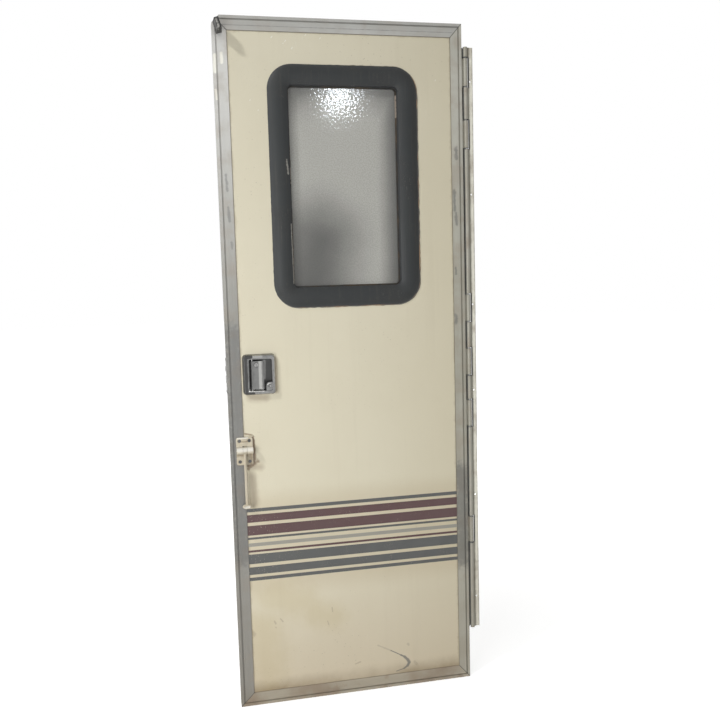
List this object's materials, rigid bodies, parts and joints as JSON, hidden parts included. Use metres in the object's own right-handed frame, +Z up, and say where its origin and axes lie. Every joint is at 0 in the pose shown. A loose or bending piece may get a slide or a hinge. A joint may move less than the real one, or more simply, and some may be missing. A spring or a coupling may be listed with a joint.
{
  "type": "caravan entry door",
  "caption": "Caravan entry door with a mitred aluminium frame, rounded window, paddle lock, hanging hold-back arm and long pin hinge.",
  "frame": {"origin": "middle of the jamb hinge leaf's back face, which screws to the side of the door opening", "axes": "+X towards the hinge side as seen from outdoors, +Y indoors, +Z up"},
  "size_m": [0.6935, 0.098, 1.829],
  "materials": {
    "hinge_aluminium": "dull mill aluminium with grime",
    "frame_aluminium": "weathered mill aluminium",
    "skin_cream": "aged cream gloss paint",
    "core_foam": "rigid foam",
    "lining_white": "off-white vinyl-faced board",
    "ring_grey": "weathered dark grey moulding",
    "obscure_glass": "pebbled obscure glass",
    "seal_rubber": "aged rubber",
    "trim_plastic": "moulded plastic",
    "lock_chrome": "worn chrome plate",
    "key_steel": "worn plated steel",
    "steel": "zinc-plated steel",
    "inner_plastic": "moulded black plastic",
    "holder_ivory": "aged ivory plastic",
    "bumper_rubber": "worn rubber"
  },
  "bodies": {
    "jamb_side": {"jamb_hinge_leaf": "hinge_aluminium", "hinge_pin": "steel"},
    "door": {"door_hinge_leaf": "hinge_aluminium", "frame_top_rail": "frame_aluminium", "frame_bottom_rail": "frame_aluminium", "frame_latch_stile": "frame_aluminium", "frame_hinge_stile": "frame_aluminium", "outer_skin": "skin_cream", "panel_core": "core_foam", "inner_lining": "lining_white", "window_ring": "ring_grey", "window_glass": "obscure_glass", "glazing_seal": "seal_rubber", "window_trim": "trim_plastic", "lock_housing": "lock_chrome", "paddle_pin": "steel", "lock_case": "steel", "latch_bolt": "steel", "deadbolt": "steel", "edge_plate": "steel", "inner_lock_plate": "inner_plastic", "inner_lever": "inner_plastic", "inner_bolt_knob": "inner_plastic", "holder_base": "holder_ivory", "holder_pin": "steel", "corner_bumper": "bumper_rubber", "hinge_gap_seal": "seal_rubber", "weather_seal_top": "seal_rubber", "weather_seal_bottom": "seal_rubber", "weather_seal_latch": "seal_rubber", "weather_seal_hinge": "seal_rubber"},
    "paddle": {"lock_paddle": "lock_chrome"},
    "paddle_key": {"paddle_key_plug": "key_steel"},
    "bolt_key": {"bolt_key_plug": "key_steel"},
    "hold_back_arm": {"holder_arm": "holder_ivory"}
  },
  "joints": [
    {"name": "door_swing", "type": "hinge", "parent": "jamb_side", "child": "door", "pos_m": [-0.0145, -0.006, 0], "axis": [0, 0, 1], "range_deg": [0, 170]},
    {"name": "hold_back_swing", "type": "hinge", "parent": "door", "child": "hold_back_arm", "pos_m": [-0.6455, -0.0175, -0.2435], "axis": [-1, 0, 0], "range_deg": [0, 170]},
    {"name": "paddle_pull", "type": "hinge", "parent": "door", "child": "paddle", "pos_m": [-0.6175, -0.0082, -0.04525], "axis": [0, 0, -1], "range_deg": [0, 32], "stiffness_Nm_per_rad": 0.6},
    {"name": "paddle_key_turn", "type": "hinge", "parent": "paddle", "child": "paddle_key", "pos_m": [-0.6065, -0.01, -0.0185], "axis": [0, -1, 0], "range_deg": [0, 90]},
    {"name": "bolt_key_turn", "type": "hinge", "parent": "door", "child": "bolt_key", "pos_m": [-0.5735, -0.005, -0.0735], "axis": [0, -1, 0], "range_deg": [0, 90]}
  ]
}
